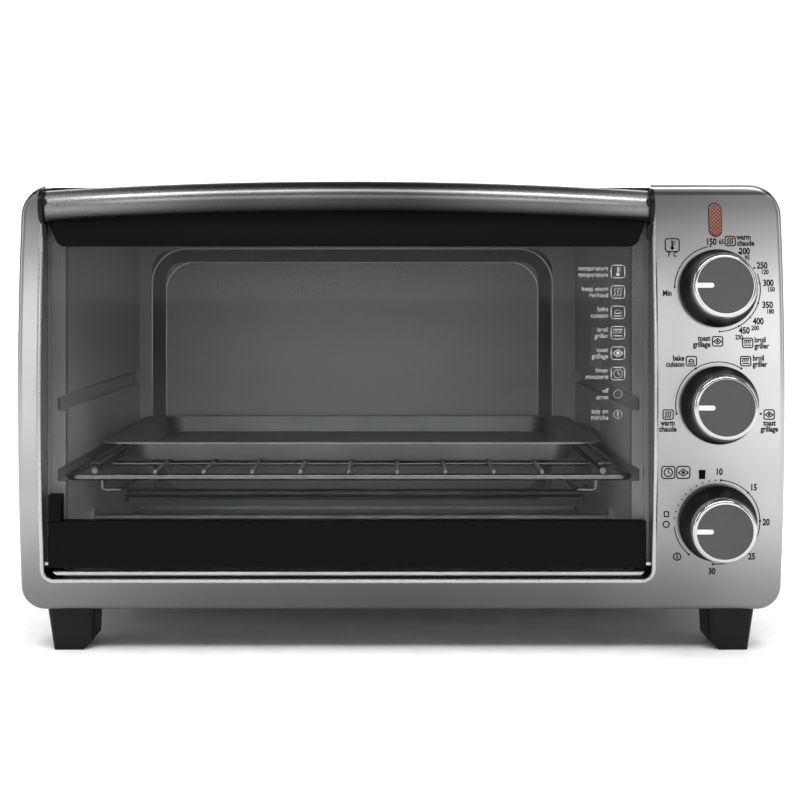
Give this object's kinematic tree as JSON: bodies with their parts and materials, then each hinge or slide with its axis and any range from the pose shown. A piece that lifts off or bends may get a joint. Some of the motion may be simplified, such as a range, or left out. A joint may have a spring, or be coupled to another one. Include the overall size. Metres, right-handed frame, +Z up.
{
  "type": "toaster oven",
  "caption": "Countertop toaster oven: bulged steel front, drop-down glass door with bowed handle, dials at the right, wire rack, baking pan and crumb tray.",
  "frame": {"origin": "on the counter, under the centre of the overall box", "axes": "+X to the right as the user faces the door, +Y from front to back, +Z up"},
  "size_m": [0.482, 0.3761, 0.298],
  "materials": {
    "stainless": "satin stainless sheet",
    "handle_steel": "brushed along its length",
    "black_paint": "satin black powder coat",
    "black_enamel": "smooth black",
    "liner": "dull galvanised sheet",
    "heater": "oxidised tube",
    "ceramic": "white ceramic",
    "black_plastic": "fine grain",
    "cap_grey": "spun dark grey",
    "chrome": "bright",
    "white_mark": "white pointer",
    "glass": "clear tempered glass",
    "lens": "amber red lens",
    "wire": "plated wire",
    "pan_metal": "dull pressed steel",
    "tray_metal": "plain sheet",
    "zinc": "zinc plate",
    "grey_plastic": "moulded housing",
    "spring_steel": "drawn wire"
  },
  "bodies": {
    "oven": {"front_panel": "stainless", "outer_wrap": "black_paint", "rear_cover": "black_paint", "base_plate": "black_paint", "feet": "black_plastic", "foot_screws": "zinc", "cavity_left_wall": "liner", "cavity_right_wall": "liner", "cavity_top": "liner", "cavity_floor": "liner", "cavity_back": "liner", "upper_heaters": "heater", "lower_heaters": "heater", "heater_insulators": "ceramic", "fan_motor": "zinc", "indicator_lens": "lens", "indicator_lamp": "grey_plastic", "thermostat_body": "grey_plastic", "function_switch_body": "grey_plastic", "timer_body": "zinc", "timer_bell": "zinc", "cord_gland": "black_plastic", "case_screws": "zinc", "hinge_brackets": "zinc"},
    "door": {"door_glass": "glass", "door_bottom_rail": "black_enamel", "door_top_rail": "black_enamel", "door_hinge_pins": "zinc", "door_arm_bracket": "black_paint", "door_arm": "zinc", "door_spring": "spring_steel", "handle_cover": "handle_steel", "handle_core": "black_plastic", "handle_end_caps": "black_plastic", "door_screws": "zinc"},
    "rack": {"rack_frame": "wire", "rack_bars": "wire", "rack_cross_wires": "wire", "rack_hooks": "wire"},
    "pan": {"baking_pan": "pan_metal"},
    "tray": {"crumb_tray": "tray_metal"},
    "fan": {"fan_shaft": "zinc", "fan_blade": "tray_metal"},
    "temperature_dial": {"temperature_knob": "black_plastic", "temperature_knob_ring": "chrome", "temperature_knob_cap": "cap_grey", "temperature_knob_pointer": "white_mark", "thermostat_shaft": "zinc"},
    "function_dial": {"function_knob": "black_plastic", "function_knob_ring": "chrome", "function_knob_cap": "cap_grey", "function_knob_pointer": "white_mark", "function_switch_shaft": "zinc"},
    "timer_dial": {"timer_knob": "black_plastic", "timer_knob_ring": "chrome", "timer_knob_cap": "cap_grey", "timer_knob_pointer": "white_mark", "timer_shaft": "zinc"}
  },
  "joints": [
    {"name": "door_hinge", "type": "hinge", "parent": "oven", "child": "door", "pos_m": [0, -0.1465, 0.0576], "axis": [1, 0, 0], "range_deg": [0, 90], "stiffness_Nm_per_rad": 0.5, "springref_deg": -34.38, "deforming": ["door_spring"]},
    {"name": "rack_slide", "type": "slide", "parent": "oven", "child": "rack", "axis": [0, -1, 0], "range_m": [0, 0.08]},
    {"name": "pan_lift", "type": "slide", "parent": "rack", "child": "pan", "axis": [0, 0, 1], "range_m": [0, 0.1]},
    {"name": "crumb_tray_slide", "type": "slide", "parent": "oven", "child": "tray", "axis": [0, -1, 0], "range_m": [0, 0.195]},
    {"name": "fan_spin", "type": "hinge", "parent": "oven", "child": "fan", "pos_m": [0.16, 0.025, 0.187], "axis": [1, 0, 0], "continuous": true},
    {"name": "temperature_dial_turn", "type": "hinge", "parent": "oven", "child": "temperature_dial", "pos_m": [0.1986, -0.15478, 0.2318], "axis": [0, 0.9956, -0.0941], "range_deg": [0, 270]},
    {"name": "function_dial_turn", "type": "hinge", "parent": "oven", "child": "function_dial", "pos_m": [0.1986, -0.15799, 0.159], "axis": [0, 1, 0.0062], "range_deg": [0, 180]},
    {"name": "timer_dial_turn", "type": "hinge", "parent": "oven", "child": "timer_dial", "pos_m": [0.1986, -0.15372, 0.0848], "axis": [0, 0.9941, 0.1084], "range_deg": [-45, 270]}
  ],
  "couplings": [
    {"joint": "rack_slide", "follows": "door_hinge", "m_per_rad": 0.05}
  ]
}
